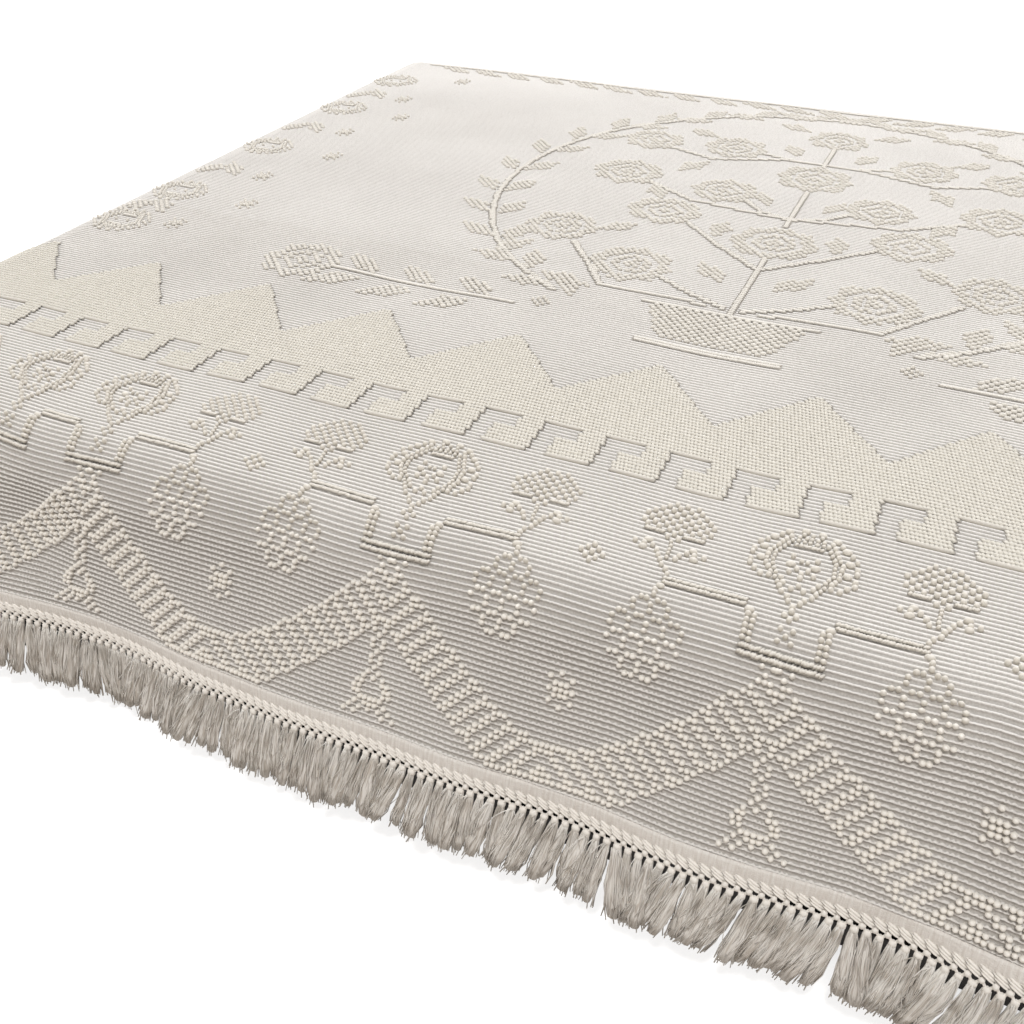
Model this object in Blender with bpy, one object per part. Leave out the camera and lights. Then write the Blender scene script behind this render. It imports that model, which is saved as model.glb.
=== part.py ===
"""A chenille bedspread draped over a mattress, in metres, +Z up.

The mattress stands on its underside, centred on the origin.  The bedspread is one
sheet: flat on top, bent over the mattress's rounded edges, falling free of its
sides and flaring in one soft fold at each rounded corner.  A knotted fringe hangs
from the hem along the front, the left and the right.

Every point of the cloth is found from its place on the flat cloth: a station on
the edge of the flat top, and the distance run down the fall from there.
"""

import math
import random

import bmesh
import bpy
import numpy as np

# ---- driving dimensions -------------------------------------------------------
MATTRESS_LENGTH = 2.000
MATTRESS_DEPTH = 1.600
MATTRESS_HEIGHT = 0.333
EDGE_RADIUS = 0.050
FOOT_RADIUS = 0.012

# The cloth: its thickness, its gap to the flat top, how much wider it bends than the
# mattress's edge, and its run from the flat top's edge down to the hem.
CLOTH = 0.003
REST_GAP = 0.0003
BEND_CLEARANCE = 0.008
FALL = 0.215
# The fall eases outward towards the hem at this rate, in radians per metre.
FLARE = math.radians(28)
# Small waves along the hem: their height and their pace along each axis.
RIPPLE = 0.0025
RIPPLES_X = 13.0
RIPPLES_Y = 17.0

# The fringe's header: a tape in line with the cloth, then a band of knots.
TAPE = 0.0145
KNOTS = 0.031
TRIM = 0.0036
# Its locks: length, spacing, share of the spacing at the root, spread at the tip.
LOCK = 0.084
LOCK_PITCH = 0.0195
LOCK_SHARE = 0.66
LOCK_SPREAD = 1.15
LOCK_THICKNESS = 0.0075
LOCK_LEAN = (-0.16, 0.02)
LOCK_SWING = (-0.05, 0.05)
LOCK_LENGTHS = (0.93, 1.0)
LOCK_SEED = 11
# How far the knots and the locks turn from the cloth's way to straight down.
KNOT_TURN = 0.40
LOCK_TURN = 0.85

# ---- how the mesh is divided ----------------------------------------------------
LENGTH_STEPS = 32
DEPTH_STEPS = 20
CORNER_STEPS = 8
BEND_STEPS = 4
BEND_TURN = math.radians(75)
FALL_STEPS = 3
MATTRESS_CORNER_STEPS = 4

# ---- worked out from them -------------------------------------------------------
HALF_X = MATTRESS_LENGTH / 2 - EDGE_RADIUS
HALF_Y = MATTRESS_DEPTH / 2 - EDGE_RADIUS
BEND = EDGE_RADIUS + BEND_CLEARANCE + CLOTH / 2
TOP = MATTRESS_HEIGHT + REST_GAP + CLOTH / 2

# How steeply the cloth falls below its bend, in degrees from level.
# Columns: place along the side in metres, angle.
FRONT_FALL = (
    (-0.95, 80),
    (-0.80, 83),
    (-0.65, 76),
    (-0.48, 81),
    (-0.35, 75),
    (-0.10, 70),
    (0.05, 73),
    (0.22, 70),
    (0.33, 72),
    (0.45, 64),
    (0.62, 75),
    (0.76, 71),
    (0.95, 80),
)
BACK_FALL = (
    (-0.95, 80),
    (-0.62, 71),
    (-0.30, 76),
    (0.08, 70),
    (0.50, 75),
    (0.74, 71),
    (0.95, 80),
)
LEFT_FALL = (
    (-0.75, 80),
    (-0.50, 72),
    (-0.18, 76),
    (0.15, 70),
    (0.46, 75),
    (0.75, 80),
)
RIGHT_FALL = (
    (-0.75, 80),
    (-0.46, 71),
    (-0.12, 77),
    (0.22, 71),
    (0.52, 75),
    (0.75, 80),
)
# Columns: share of the quarter turn round a corner, angle.
CORNER_FALL = (
    (0.00, 80),
    (0.16, 85),
    (0.43, 52),
    (0.57, 52),
    (0.84, 85),
    (1.00, 80),
)
# Where the cloth lies a little proud of the mattress.
# Columns: centre x, centre y, reach in metres, height in metres.
TOP_SWELLS = (
    (-0.72, 0.55, 0.30, 0.0045),
    (-0.20, -0.48, 0.26, 0.0030),
    (0.34, 0.22, 0.34, 0.0040),
    (0.70, -0.40, 0.28, 0.0035),
    (-0.62, -0.20, 0.24, 0.0025),
)


def eased(place, table):
    """Reads a two-column table, easing from each row to the next."""
    places = np.array([row[0] for row in table])
    values = np.array([row[1] for row in table], dtype=float)
    index = np.clip(np.searchsorted(places, place, side="right") - 1, 0, len(places) - 2)
    share = np.clip((place - places[index]) / (places[index + 1] - places[index]), 0, 1)
    ease = share * share * (3 - 2 * share)
    return values[index] * (1 - ease) + values[index + 1] * ease


def swell(x, y):
    """Height of the cloth's top above the level where it lies flat."""
    height = np.zeros_like(x)
    for centre_x, centre_y, reach, rise in TOP_SWELLS:
        distance = np.hypot(x - centre_x, y - centre_y) / reach
        height = height + rise * np.clip(1 - distance * distance, 0, 1) ** 2
    return height


def fall_angle(base_x, base_y, out_x, out_y):
    """Fall angle in radians for a station on the flat top's edge and its outward way."""
    side = np.where(
        np.abs(out_x) > np.abs(out_y),
        np.where(out_x < 0, eased(base_y, LEFT_FALL), eased(base_y, RIGHT_FALL)),
        np.where(out_y < 0, eased(base_x, FRONT_FALL), eased(base_x, BACK_FALL)),
    )
    turn = np.arctan2(np.abs(out_y), np.abs(out_x)) / (math.pi / 2)
    at_corner = (turn > 1e-6) & (turn < 1 - 1e-6)
    return np.radians(np.where(at_corner, eased(turn, CORNER_FALL), side))


def draped(u, v):
    """Middle surface of the cloth at flat places u, v measured from its centre."""
    base_x = np.clip(u, -HALF_X, HALF_X)
    base_y = np.clip(v, -HALF_Y, HALF_Y)
    run = np.hypot(u - base_x, v - base_y)
    safe = np.maximum(run, 1e-9)
    out_x = (u - base_x) / safe
    out_y = (v - base_y) / safe
    angle = fall_angle(base_x, base_y, out_x, out_y)

    turned = np.minimum(run / BEND, angle)
    beyond = np.maximum(run - BEND * angle, 0)
    last = angle - FLARE * beyond
    reach = BEND * np.sin(turned) + (np.sin(angle) - np.sin(last)) / FLARE
    drop = BEND * (1 - np.cos(turned)) + (np.cos(last) - np.cos(angle)) / FLARE

    loose = np.clip(beyond / (FALL - BEND), 0, 1)
    along = base_x * RIPPLES_X + base_y * RIPPLES_Y
    reach = reach + RIPPLE * loose * (np.sin(along) + 0.6 * np.sin(2.3 * along + 1))
    return np.stack(
        [
            base_x + out_x * reach,
            base_y + out_y * reach,
            TOP + swell(base_x, base_y) - drop,
        ],
        axis=-1,
    )


def side_stations(steps_x, steps_y, corner_steps):
    """Stations round the flat top, front-left first and counter-clockwise.

    Each row holds base x, base y, outward x and outward y.
    """
    rows = []
    corners = (
        (-HALF_X, -HALF_Y, 180),
        (HALF_X, -HALF_Y, 270),
        (HALF_X, HALF_Y, 0),
        (-HALF_X, HALF_Y, 90),
    )
    for index, (x, y, start) in enumerate(corners):
        next_x, next_y, _ = corners[(index + 1) % 4]
        for step in range(corner_steps + 1):
            heading = math.radians(start + 90 * step / corner_steps)
            rows.append((x, y, math.cos(heading), math.sin(heading)))
        steps = steps_x if index % 2 == 0 else steps_y
        out = math.radians(start + 90)
        for step in range(1, steps):
            share = step / steps
            place_x = x + (next_x - x) * share
            place_y = y + (next_y - y) * share
            rows.append((place_x, place_y, math.cos(out), math.sin(out)))
    return np.round(np.array(rows), 9)


def unit(way):
    return way / np.linalg.norm(way)


def material(name, colour, roughness):
    made = bpy.data.materials.new(name)
    made.use_nodes = True
    shader = made.node_tree.nodes["Principled BSDF"]
    shader.inputs["Base Color"].default_value = (*colour, 1)
    shader.inputs["Roughness"].default_value = roughness
    shader.inputs["Metallic"].default_value = 0
    return made


def add_object(name, vertices, faces, finish):
    """A mesh object whose faces are turned outward."""
    mesh = bpy.data.meshes.new(name)
    mesh.from_pydata([tuple(point) for point in vertices], [], faces)
    mesh.validate()
    work = bmesh.new()
    work.from_mesh(mesh)
    bmesh.ops.recalc_face_normals(work, faces=work.faces)
    work.to_mesh(mesh)
    work.free()
    mesh.materials.append(finish)
    made = bpy.data.objects.new(name, mesh)
    bpy.context.collection.objects.link(made)
    return made


def normals_of(vertices, faces):
    """Unit normal at each vertex of an open surface."""
    sums = np.zeros_like(vertices)
    for face in faces:
        first, second, third = (vertices[face[i]] for i in (0, 1, 2))
        across = np.cross(second - first, third - first)
        if len(face) == 4:
            across = across + np.cross(third - first, vertices[face[3]] - first)
        for corner in face:
            sums[corner] += across
    return sums / np.linalg.norm(sums, axis=1)[:, None]


def bedspread(finish):
    """One closed sheet: its upper skin, its under skin and the hem's rim.

    Returns the hem, a row for each station: its middle, its outward normal and the
    way that the cloth runs down into it.
    """
    stations = side_stations(LENGTH_STEPS, DEPTH_STEPS, CORNER_STEPS)
    flat = []
    number = {}

    def place(u, v):
        key = (round(u, 7), round(v, 7))
        if key not in number:
            number[key] = len(flat)
            flat.append(key)
        return number[key]

    faces = []
    columns = [-HALF_X + 2 * HALF_X * i / LENGTH_STEPS for i in range(LENGTH_STEPS + 1)]
    rows = [-HALF_Y + 2 * HALF_Y * i / DEPTH_STEPS for i in range(DEPTH_STEPS + 1)]
    for i in range(LENGTH_STEPS):
        for j in range(DEPTH_STEPS):
            faces.append(
                (
                    place(columns[i], rows[j]),
                    place(columns[i + 1], rows[j]),
                    place(columns[i + 1], rows[j + 1]),
                    place(columns[i], rows[j + 1]),
                )
            )
    bend_run = BEND * BEND_TURN
    runs = [bend_run * i / BEND_STEPS for i in range(BEND_STEPS + 1)]
    runs += [bend_run + (FALL - bend_run) * i / FALL_STEPS for i in range(1, FALL_STEPS + 1)]
    count = len(stations)
    for i in range(count):
        this = stations[i]
        after = stations[(i + 1) % count]
        for near, far in zip(runs, runs[1:]):
            ring = (
                place(this[0] + this[2] * near, this[1] + this[3] * near),
                place(this[0] + this[2] * far, this[1] + this[3] * far),
                place(after[0] + after[2] * far, after[1] + after[3] * far),
                place(after[0] + after[2] * near, after[1] + after[3] * near),
            )
            faces.append(tuple(dict.fromkeys(ring)))
    rim = [place(s[0] + s[2] * FALL, s[1] + s[3] * FALL) for s in stations]

    flat = np.array(flat)
    middle = draped(flat[:, 0], flat[:, 1])
    outward = normals_of(middle, faces)
    upper = middle + outward * CLOTH / 2
    under = middle - outward * CLOTH / 2
    shift = len(middle)
    under_faces = [tuple(shift + corner for corner in reversed(face)) for face in faces]
    rim_faces = []
    hem = []
    for i in range(count):
        first = rim[i]
        second = rim[(i + 1) % count]
        rim_faces.append((first, first + shift, second + shift, second))
        station = stations[i]
        inner = place(station[0] + station[2] * runs[-2], station[1] + station[3] * runs[-2])
        hem.append((middle[first], outward[first], unit(middle[first] - middle[inner])))
    everything = np.concatenate([upper, under])
    add_object("bedspread", everything, faces + under_faces + rim_faces, finish)
    return hem


def mattress(finish):
    """A plain block with rounded corners, rounded upper edges and a level underside."""
    stations = side_stations(LENGTH_STEPS // 4, DEPTH_STEPS // 4, MATTRESS_CORNER_STEPS)
    arc = [BEND_TURN * i / BEND_STEPS for i in range(BEND_STEPS + 1)] + [math.pi / 2]
    profile = [
        (EDGE_RADIUS * math.sin(a), MATTRESS_HEIGHT - EDGE_RADIUS * (1 - math.cos(a)))
        for a in arc
    ]
    profile.append((EDGE_RADIUS, FOOT_RADIUS))
    profile.append((EDGE_RADIUS - FOOT_RADIUS, 0.0))
    vertices = []
    number = {}

    def place(point):
        key = tuple(round(float(value), 7) for value in point)
        if key not in number:
            number[key] = len(vertices)
            vertices.append(key)
        return number[key]

    faces = []
    count = len(stations)
    rings = []
    for base_x, base_y, out_x, out_y in stations:
        rings.append(
            [place((base_x + out_x * reach, base_y + out_y * reach, z)) for reach, z in profile]
        )
    for i in range(count):
        this = rings[i]
        after = rings[(i + 1) % count]
        for j in range(len(profile) - 1):
            ring = (this[j], this[j + 1], after[j + 1], after[j])
            faces.append(tuple(dict.fromkeys(ring)))
    faces.append(tuple(dict.fromkeys(ring[0] for ring in rings)))
    faces.append(tuple(dict.fromkeys(ring[-1] for ring in reversed(rings))))
    return add_object("mattress", vertices, faces, finish)


def toward_vertical(way, share):
    """A way turned by a share of what it lacks to hanging straight down."""
    return unit(way * (1 - share) + np.array([0.0, 0.0, -1.0]) * share)


def fringe(name, hem, finish):
    """A header strip under a run of the hem, with locks drawn out of its lower edge.

    The strip is cut across at each hem station and at both sides of each lock.  Each
    section has six points, outer and inner, at the head, the tape's foot and the foot.
    """
    draw = random.Random(LOCK_SEED + len(name))
    cuts = []
    lock_starts = set()
    for station, (this, after) in enumerate(zip(hem, hem[1:])):
        length = np.linalg.norm(after[0] - this[0])
        count = max(1, round(length / LOCK_PITCH))
        margin = (1 - LOCK_SHARE) / 2
        cuts.append((station, REST_GAP / length if station == 0 else 0.0))
        for index in range(count):
            lock_starts.add(len(cuts))
            cuts.append((station, (index + margin) / count))
            cuts.append((station, (index + 1 - margin) / count))
    cuts.append((len(hem) - 2, 1 - REST_GAP / length))

    vertices = []
    sections = []
    for station, share in cuts:
        this, after = hem[station], hem[station + 1]
        middle, normal, down = (this[k] * (1 - share) + after[k] * share for k in range(3))
        knot_way = toward_vertical(down, KNOT_TURN)
        knot_normal = unit(normal - knot_way * (normal @ knot_way))
        head = middle + down * REST_GAP
        tape_foot = middle + down * TAPE
        foot = tape_foot + knot_way * KNOTS
        section = []
        for point, across in ((head, normal), (tape_foot, normal), (foot, knot_normal)):
            for sign in (1, -1):
                section.append(len(vertices))
                vertices.append(point + across * sign * TRIM / 2)
        sections.append((section, foot, down, knot_normal))

    faces = []
    for index in range(len(sections) - 1):
        this, foot, down, normal = sections[index]
        after, far_foot, _, _ = sections[index + 1]
        faces.append((this[0], after[0], after[1], this[1]))
        for row in (0, 2):
            faces.append((this[row], this[row + 2], after[row + 2], after[row]))
            faces.append((this[row + 1], after[row + 1], after[row + 3], this[row + 3]))
        if index not in lock_starts:
            faces.append((this[4], this[5], after[5], after[4]))
            continue
        along = unit(far_foot - foot)
        lean = along * draw.uniform(*LOCK_LEAN) + normal * draw.uniform(*LOCK_SWING)
        way = unit(toward_vertical(down, LOCK_TURN) + lean)
        tip = (foot + far_foot) / 2 + way * LOCK * draw.uniform(*LOCK_LENGTHS)
        across = along * np.linalg.norm(far_foot - foot) / 2 * LOCK_SPREAD
        deep = normal * LOCK_THICKNESS / 2
        first = len(vertices)
        vertices += [tip - across + deep, tip - across - deep]
        vertices += [tip + across + deep, tip + across - deep]
        faces.append((this[4], first, first + 2, after[4]))
        faces.append((this[5], after[5], first + 3, first + 1))
        faces.append((this[4], this[5], first + 1, first))
        faces.append((after[4], first + 2, first + 3, after[5]))
        faces.append((first, first + 1, first + 3, first + 2))
    first = sections[0][0]
    last = sections[-1][0]
    for row in (0, 2):
        faces.append((first[row], first[row + 1], first[row + 3], first[row + 2]))
        faces.append((last[row], last[row + 2], last[row + 3], last[row + 1]))
    return add_object(name, np.array(vertices), faces, finish)


def trims(hem, finish):
    """Three fringes that meet at the middle of the front corners."""
    front_left = CORNER_STEPS // 2
    front_right = front_left + CORNER_STEPS + LENGTH_STEPS
    back_right = front_right - front_left + CORNER_STEPS + DEPTH_STEPS
    back_left = back_right + CORNER_STEPS + LENGTH_STEPS + CORNER_STEPS
    fringe("fringe_front", hem[front_left:front_right + 1], finish)
    fringe("fringe_right", hem[front_right:back_right + 1], finish)
    fringe("fringe_left", hem[back_left:] + hem[:front_left + 1], finish)


def main():
    for item in list(bpy.data.objects):
        bpy.data.objects.remove(item, do_unlink=True)
    ivory = material("ivory_cotton", (0.80, 0.77, 0.70), 0.9)
    yarn = material("fringe_yarn", (0.66, 0.62, 0.56), 0.95)
    ticking = material("mattress_ticking", (0.10, 0.10, 0.11), 0.9)
    hem = bedspread(ivory)
    mattress(ticking)
    trims(hem, yarn)


main()
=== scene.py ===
"""Looks of the chenille bedspread: ribbed cloth, tufts, knotted fringe, light and camera.

Everything is worked out on the flat cloth, in metres from its centre, and carried to
the draped shape by one function, draped(), which gives the cloth's middle surface.
"""

import math

import bpy
import numpy as np
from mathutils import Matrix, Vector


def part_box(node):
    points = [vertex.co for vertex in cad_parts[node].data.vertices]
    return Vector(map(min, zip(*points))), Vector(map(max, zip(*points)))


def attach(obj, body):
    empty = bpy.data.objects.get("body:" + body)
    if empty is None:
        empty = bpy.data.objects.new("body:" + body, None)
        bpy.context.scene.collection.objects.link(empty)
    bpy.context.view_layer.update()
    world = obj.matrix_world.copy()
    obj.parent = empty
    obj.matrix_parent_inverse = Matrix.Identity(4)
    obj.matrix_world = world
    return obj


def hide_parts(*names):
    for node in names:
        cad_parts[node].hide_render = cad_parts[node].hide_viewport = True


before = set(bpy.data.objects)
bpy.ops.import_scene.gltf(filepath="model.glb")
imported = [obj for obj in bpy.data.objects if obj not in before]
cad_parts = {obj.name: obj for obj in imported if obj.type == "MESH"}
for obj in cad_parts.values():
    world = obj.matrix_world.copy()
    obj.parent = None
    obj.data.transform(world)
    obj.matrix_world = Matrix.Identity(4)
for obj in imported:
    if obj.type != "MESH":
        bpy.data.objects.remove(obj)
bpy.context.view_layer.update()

# ---- the draped shape, from the mattress's own dimensions ----
MATTRESS_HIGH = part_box("mattress")[1]
EDGE_RADIUS = 0.050
FOOT_RADIUS = 0.012
CLOTH = 0.003
REST_GAP = 0.0003
BEND_CLEARANCE = 0.008
FALL = 0.215
BEHIND_TAPE = 0.006
CUT = FALL + BEHIND_TAPE
HEM_CORNER = math.pi / 2 * CUT
FLARE = math.radians(28)
RIPPLE = 0.0025
RIPPLES_X = 13.0
RIPPLES_Y = 17.0
HALF_X = MATTRESS_HIGH[0] - EDGE_RADIUS
HALF_Y = MATTRESS_HIGH[1] - EDGE_RADIUS
BEND = EDGE_RADIUS + BEND_CLEARANCE + CLOTH / 2
TOP = MATTRESS_HIGH[2] + REST_GAP + CLOTH / 2

# Columns: place along the side in metres, fall angle in degrees.
FRONT_FALL = (
    (-0.95, 80), (-0.80, 83), (-0.65, 76), (-0.48, 81), (-0.35, 75), (-0.10, 70), (0.05, 73),
    (0.22, 70), (0.33, 72), (0.45, 64), (0.62, 75), (0.76, 71), (0.95, 80),
)
BACK_FALL = (
    (-0.95, 80), (-0.62, 71), (-0.30, 76), (0.08, 70), (0.50, 75), (0.74, 71), (0.95, 80),
)
LEFT_FALL = (
    (-0.75, 80), (-0.50, 72), (-0.18, 76), (0.15, 70), (0.46, 75), (0.75, 80),
)
RIGHT_FALL = (
    (-0.75, 80), (-0.46, 71), (-0.12, 77), (0.22, 71), (0.52, 75), (0.75, 80),
)
# Columns: share of the quarter turn round a corner, fall angle in degrees.
CORNER_FALL = (
    (0.00, 80), (0.16, 85), (0.43, 52), (0.57, 52), (0.84, 85), (1.00, 80),
)
# Columns: centre along X and across, reach along X and across, height of a soft swell of
# the top, or depth of a soft hollow of the front fall.
TOP_SWELLS = (
    (-0.72, 0.55, 0.30, 0.30, 0.0045),
    (-0.20, -0.48, 0.26, 0.26, 0.0030),
    (0.34, 0.22, 0.34, 0.34, 0.0040),
    (0.70, -0.40, 0.28, 0.28, 0.0035),
    (-0.62, -0.20, 0.24, 0.24, 0.0025),
)
FRONT_HOLLOWS = (
    (-0.605, -0.880, 0.085, 0.090, 0.011),
    (-0.660, -0.800, 0.060, 0.050, 0.003),
    (0.560, -0.900, 0.090, 0.070, 0.005),
)
# How far the ribs stray, and the last stretch before the hem where they come straight.
WAVER = 0.0016
WAVER_EASE = 0.06
# Columns: share of the height, pace along X, pace across, start of each wave.
WAVER_WAVES = ((1.0, 17, 6, 0), (0.7, 29, -11, 1))

# ---- the weave ----
RIB = 0.0058
SWAY_LENGTH = 0.0058
HALF_CELL = 0.0027
FINE_CELL = 0.0041
TWILL = 1 / 3
# Middle of the band along the top's edges, as a distance from the centre, where the ribs' painted
# highlight and shade are stronger.
PAINTED_CONTRAST_BAND = 0.70
# One unit of the places a, b along X and across it on the top's charts.
UNIT = 0.0061
CREST = 0.0027
UNDERSIDE = -0.0012
# Columns: place across one rib in ribs from its crest, share of the crest's height.
NEAR_RIB = ((-0.50, 0.00), (-0.30, 0.06), (-0.15, 0.60), (0.00, 1.00), (0.15, 0.60), (0.30, 0.06))
FAR_RIB = ((-0.50, 0.00), (-0.20, 0.45), (0.00, 1.00), (0.20, 0.45))
NEAR_ROWS = -30
# Shares of the fall at which the cloth's columns stand: close together round the bend.
SIDE_COLUMNS = (0.0, 0.07, 0.14, 0.21, 0.28, 0.36, 0.52, 0.76, 1.0)
TOP_COLUMNS = 26
EXTRA_COLUMNS = (-0.66, -0.64, -0.62, -0.59, -0.56, -0.53)
HEM_ROW = (HALF_Y + CUT) / RIB

# ---- the fringe ----
TAPE = 0.0110
BRAID = 0.0090
KNOT_DROP = 0.0024
NECK_DROP = 0.0092
PITCH = 0.0104
TASSEL = 0.088

# Every unevenness is drawn from this one source.
SEED = 7
draw = np.random.default_rng(SEED)


def eased(place, table):
    """Reads a two-column table, easing from each row to the next."""
    places = np.array([row[0] for row in table])
    values = np.array([row[1] for row in table], dtype=float)
    index = np.clip(np.searchsorted(places, place, side="right") - 1, 0, len(places) - 2)
    share = np.clip((place - places[index]) / (places[index + 1] - places[index]), 0, 1)
    ease = share * share * (3 - 2 * share)
    return values[index] * (1 - ease) + values[index + 1] * ease


def humps(u, v, table):
    """Height, or depth, of a table's soft round humps at places u, v."""
    height = np.zeros_like(u)
    for centre_u, centre_v, reach_u, reach_v, most in table:
        distance = np.hypot((u - centre_u) / reach_u, (v - centre_v) / reach_v)
        height = height + most * np.clip(1 - distance * distance, 0, 1) ** 2
    return height


def fall_angle(base_x, base_y, out_x, out_y):
    side = np.where(
        np.abs(out_x) > np.abs(out_y),
        np.where(out_x < 0, eased(base_y, LEFT_FALL), eased(base_y, RIGHT_FALL)),
        np.where(out_y < 0, eased(base_x, FRONT_FALL), eased(base_x, BACK_FALL)),
    )
    turn = np.arctan2(np.abs(out_y), np.abs(out_x)) / (math.pi / 2)
    at_corner = (turn > 1e-6) & (turn < 1 - 1e-6)
    return np.radians(np.where(at_corner, eased(turn, CORNER_FALL), side))


def draped(u, v):
    """Middle surface of the cloth at flat places u, v."""
    base_x = np.clip(u, -HALF_X, HALF_X)
    base_y = np.clip(v, -HALF_Y, HALF_Y)
    run = np.hypot(u - base_x, v - base_y)
    safe = np.maximum(run, 1e-9)
    out_x = (u - base_x) / safe
    out_y = (v - base_y) / safe
    angle = fall_angle(base_x, base_y, out_x, out_y)
    turned = np.minimum(run / BEND, angle)
    beyond = np.maximum(run - BEND * angle, 0)
    last = angle - FLARE * beyond
    reach = BEND * np.sin(turned) + (np.sin(angle) - np.sin(last)) / FLARE
    drop = BEND * (1 - np.cos(turned)) + (np.cos(last) - np.cos(angle)) / FLARE
    loose = np.clip(beyond / (FALL - BEND), 0, 1)
    along = base_x * RIPPLES_X + base_y * RIPPLES_Y
    reach = reach + RIPPLE * loose * (np.sin(along) + 0.6 * np.sin(2.3 * along + 1))
    hollow = humps(u, v, FRONT_HOLLOWS)
    reach = reach - hollow
    height = TOP + humps(base_x, base_y, TOP_SWELLS) - drop - 0.3 * hollow
    return np.stack([base_x + out_x * reach, base_y + out_y * reach, height], axis=-1)


def unit(ways):
    return ways / np.maximum(np.linalg.norm(ways, axis=-1, keepdims=True), 1e-12)


def past_edges(u, v):
    """Distance of flat places from the flat top, nothing on it."""
    return np.hypot(np.maximum(np.abs(u) - HALF_X, 0), np.maximum(np.abs(v) - HALF_Y, 0))


def waver(u, v):
    """How far the ribs stray from straight lines, across their way; nothing at the hem."""
    held = np.clip((CUT - past_edges(u, v)) / WAVER_EASE, 0, 1)
    waves = sum(
        high * np.sin(pace_u * u + pace_v * v + start)
        for high, pace_u, pace_v, start in WAVER_WAVES
    )
    return WAVER * held * waves


def cloth_frames(u, v, reach=0.0012):
    """Places on the cloth with their ways along X, across it and outward."""
    v = v + waver(u, v)
    places = draped(u, v)
    along = unit(draped(u + reach, v) - draped(u - reach, v))
    across = draped(u, v + reach) - draped(u, v - reach)
    outward = unit(np.cross(along, across))
    across = np.cross(outward, along)
    return places, along, across, outward


# ---- mesh helpers ----
def mesh_piece(name, vertices, polygons, finish, uv=None):
    """An object from vertices and lists of index arrays, each (count, sides)."""
    mesh = bpy.data.meshes.new(name)
    loops = np.concatenate([corners.ravel() for corners in polygons]).astype(np.int32)
    sides = np.concatenate([np.full(len(corners), corners.shape[1]) for corners in polygons])
    starts = np.concatenate([[0], np.cumsum(sides)[:-1]]).astype(np.int32)
    mesh.vertices.add(len(vertices))
    mesh.vertices.foreach_set("co", np.asarray(vertices, np.float32).ravel())
    mesh.loops.add(len(loops))
    mesh.loops.foreach_set("vertex_index", loops)
    mesh.polygons.add(len(starts))
    mesh.polygons.foreach_set("loop_start", starts)
    mesh.update(calc_edges=True)
    mesh.validate()
    if uv is not None:
        layer = mesh.uv_layers.new(name="flat")
        index = np.empty(len(mesh.loops), np.int32)
        mesh.loops.foreach_get("vertex_index", index)
        layer.data.foreach_set("uv", np.asarray(uv, np.float32)[index].ravel())
    mesh.polygons.foreach_set("use_smooth", np.full(len(mesh.polygons), True))
    mesh.materials.append(finish)
    piece = bpy.data.objects.new(name, mesh)
    bpy.context.collection.objects.link(piece)
    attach(piece, "root")
    return piece


def grid_quads(index):
    """Quads between the rows and columns of an array of vertex numbers."""
    corners = [index[:-1, :-1], index[:-1, 1:], index[1:, 1:], index[1:, :-1]]
    return np.stack(corners, axis=-1).reshape(-1, 4)


def ring_quads(index):
    """Quads between rings, whose vertex numbers run along the array's last axis."""
    after = np.roll(index, -1, axis=-1)
    low, high = np.s_[..., :-1, :], np.s_[..., 1:, :]
    corners = [index[low], index[high], after[high], after[low]]
    return np.stack(corners, axis=-1).reshape(-1, 4)


def reversed_quads(quads):
    """The same quads, facing the other way."""
    return quads[:, [0, 3, 2, 1]]


def bud(sides, rings, start=0.5):
    """A closed-topped bud on a unit footprint: rings of (radius, height), then a tip."""
    turns = 2 * math.pi * (np.arange(sides) + start) / sides
    vertices = [
        (radius * math.cos(turn), radius * math.sin(turn), height)
        for radius, height in rings[:-1]
        for turn in turns
    ]
    index = np.arange(len(vertices)).reshape(-1, sides)
    tip = np.full(sides, len(vertices))
    vertices.append((0.0, 0.0, rings[-1][1]))
    cap = np.stack([index[-1], np.roll(index[-1], -1), tip], axis=-1)
    return np.array(vertices), [reversed_quads(ring_quads(index)), cap, index[:1, ::-1]]


def scatter(template, places, ways, sizes):
    """Copies a template to many places; ways are three unit arrays, sizes (n, 3)."""
    points, polygons = template
    scaled = points[None, :, :] * sizes[:, None, :]
    vertices = places[:, None, :] + sum(
        scaled[:, :, k, None] * ways[k][:, None, :] for k in range(3)
    )
    shift = np.arange(len(places))[:, None, None] * len(points)
    return vertices.reshape(-1, 3), [
        (corners + shift).reshape(-1, corners.shape[1]) for corners in polygons
    ]


def joined(parts):
    """One vertex array and polygon lists from several."""
    vertices = np.concatenate([part[0] for part in parts])
    polygons = []
    shift = 0
    for points, lists in parts:
        polygons += [polygon + shift for polygon in lists]
        shift += len(points)
    return vertices, polygons


def uneven(size, count, spread):
    """Many copies of a size, each of its measures a little more or less."""
    return np.array(size) * draw.uniform(1 - spread, 1 + spread, (count, 3))


def turned(along, across, angle):
    """Two ways turned in their own plane by an array of angles."""
    c = np.cos(angle)[:, None]
    s = np.sin(angle)[:, None]
    return along * c + across * s, across * c - along * s


# ---- materials ----
class Value:
    """A number that changes over the surface: arithmetic on it adds Math nodes."""

    def __init__(self, made, socket):
        self.made = made
        self.socket = socket

    def __add__(self, other):
        return self.made.math("ADD", self, other)

    def __sub__(self, other):
        return self.made.math("SUBTRACT", self, other)

    def __rsub__(self, other):
        return self.made.math("SUBTRACT", other, self)

    def __mul__(self, other):
        return self.made.math("MULTIPLY", self, other)

    def __abs__(self):
        return self.made.math("ABSOLUTE", self)

    def at_least(self, low):
        return self.made.math("MAXIMUM", self, low)

    def between(self, low, high):
        return self.made.math("MINIMUM", self.at_least(low), high)


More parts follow.
